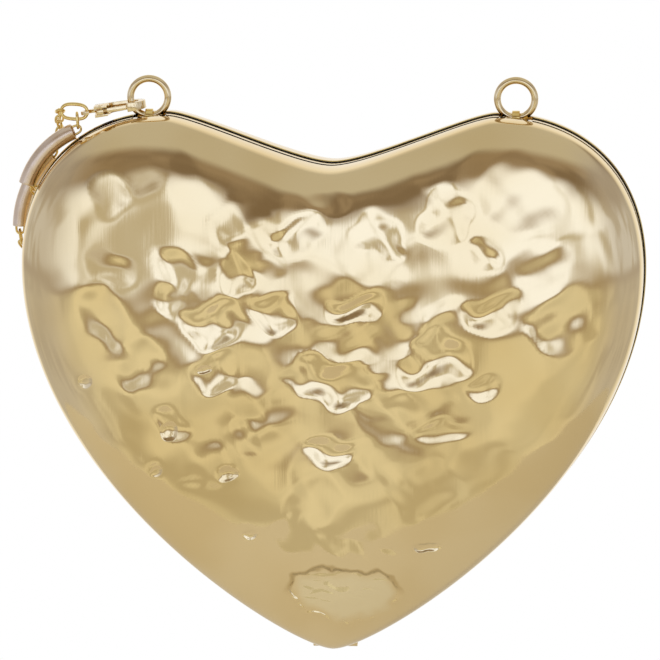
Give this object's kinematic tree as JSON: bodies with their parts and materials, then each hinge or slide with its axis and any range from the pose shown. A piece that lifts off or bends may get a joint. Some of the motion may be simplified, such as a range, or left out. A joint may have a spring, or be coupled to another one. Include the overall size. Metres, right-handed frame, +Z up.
{
  "type": "heart-shaped clutch bag",
  "caption": "Hard heart-shaped evening bag: two hinged hammered metal half shells, rings on top and a clipped-on wrist strap of tubes and links.",
  "frame": {"origin": "hanging point: midway between the tops of the two rings' holes, in the plane of the seam", "axes": "+Z up as the bag hangs, the front faces -Y, +X to the viewer's right along the heart's width"},
  "size_m": [0.185, 0.0526, 0.1676],
  "materials": {
    "hammered_gold": "mirror polished champagne gold plating on pressed, hammered sheet",
    "bright_gold": "bright polished gold plating",
    "polished_gold": "polished champagne gold plating",
    "satin_gold": "fine satin, slightly pink champagne gold",
    "link_gold": "polished wire",
    "lining_cloth": "dark woven lining on stiff board",
    "plain_steel": "plain"
  },
  "bodies": {
    "back_half": {"back_shell": "hammered_gold", "back_frame": "bright_gold", "back_lining": "lining_cloth", "catch_magnet": "plain_steel", "catch_magnet_bracket": "bright_gold", "hinge_leaf_back": "plain_steel", "hinge_pin": "plain_steel", "ring_staple_left": "bright_gold", "ring_staple_right": "bright_gold"},
    "front_lid": {"front_shell": "hammered_gold", "front_frame": "bright_gold", "front_lining": "lining_cloth", "catch_plate": "plain_steel", "catch_plate_bracket": "bright_gold", "hinge_leaf_front": "plain_steel"},
    "ring_left": {"ring_left": "polished_gold"},
    "ring_right": {"ring_right": "polished_gold"},
    "clasp": {"clasp_body": "polished_gold", "clasp_rivet": "polished_gold"},
    "clasp_gate": {"clasp_gate": "polished_gold"},
    "oval_link": {"oval_link": "link_gold"},
    "strap_a": {"strap_tube_a": "satin_gold", "link_a_1": "link_gold", "link_a_2": "link_gold"},
    "strap_links_b": {"link_b_1": "link_gold", "link_b_2": "link_gold", "link_b_3": "link_gold", "link_b_4": "link_gold", "link_b_5": "link_gold", "link_b_6": "link_gold", "link_b_7": "link_gold", "link_b_8": "link_gold"},
    "strap_b": {"strap_tube_b": "satin_gold", "link_c_1": "link_gold", "link_c_2": "link_gold", "link_c_3": "link_gold", "link_c_4": "link_gold", "link_c_5": "link_gold"},
    "strap_c": {"strap_tube_c": "satin_gold", "link_d_1": "link_gold", "link_d_2": "link_gold", "link_d_3": "link_gold", "link_d_4": "link_gold", "link_d_5": "link_gold", "link_d_6": "link_gold", "link_d_7": "link_gold"},
    "strap_d": {"strap_tube_d": "satin_gold", "link_e_1": "link_gold", "link_e_10": "link_gold", "link_e_2": "link_gold", "link_e_3": "link_gold", "link_e_4": "link_gold", "link_e_5": "link_gold", "link_e_6": "link_gold", "link_e_7": "link_gold", "link_e_8": "link_gold", "link_e_9": "link_gold"}
  },
  "joints": [
    {"name": "lid_hinge", "type": "hinge", "parent": "back_half", "child": "front_lid", "pos_m": [0, 0, -0.164], "axis": [1, 0, 0], "range_deg": [0, 75]},
    {"name": "ring_right_swing", "type": "hinge", "parent": "back_half", "child": "ring_right", "pos_m": [0.053, 0, -0.0099], "axis": [1, 0, 0], "range_deg": [-50, 50]},
    {"name": "ring_left_swing", "type": "hinge", "parent": "back_half", "child": "ring_left", "pos_m": [-0.053, 0, -0.0099], "axis": [1, 0, 0], "range_deg": [-5, 5]},
    {"name": "clasp_lift", "type": "hinge", "parent": "back_half", "child": "clasp", "pos_m": [-0.05781, 0, -0.00695], "axis": [0, 1, 0], "range_deg": [0, 8]},
    {"name": "gate_press", "type": "hinge", "parent": "clasp", "child": "clasp_gate", "pos_m": [-0.06671, -0.0025, -0.0083], "axis": [0.1495, 0, -0.9888], "range_deg": [0, 14], "stiffness_Nm_per_rad": 0.02},
    {"name": "oval_swing", "type": "hinge", "parent": "clasp", "child": "oval_link", "pos_m": [-0.07067, -0.0012, -0.0089], "axis": [0, 1, 0], "range_deg": [0, 14]},
    {"name": "strap_a_swing", "type": "hinge", "parent": "oval_link", "child": "strap_a", "pos_m": [-0.07375, -0.0013, -0.0105], "axis": [0, 1, 0], "range_deg": [0, 20]},
    {"name": "links_b_swing", "type": "hinge", "parent": "oval_link", "child": "strap_links_b", "pos_m": [-0.07845, -0.0014, -0.0085], "axis": [0, 1, 0], "range_deg": [0, 8]},
    {"name": "strap_b_swing", "type": "hinge", "parent": "strap_links_b", "child": "strap_b", "pos_m": [-0.08416, 0.0155, -0.02484], "axis": [0, 1, 0], "range_deg": [0, 8]},
    {"name": "strap_c_swing", "type": "hinge", "parent": "strap_b", "child": "strap_c", "pos_m": [-0.09047, 0.0205, -0.0578], "axis": [0, 1, 0], "range_deg": [0, 2.5]},
    {"name": "strap_d_swing", "type": "hinge", "parent": "strap_c", "child": "strap_d", "pos_m": [-0.068, 0.025, -0.0739], "axis": [0, 1, 0], "range_deg": [0, 2]}
  ]
}
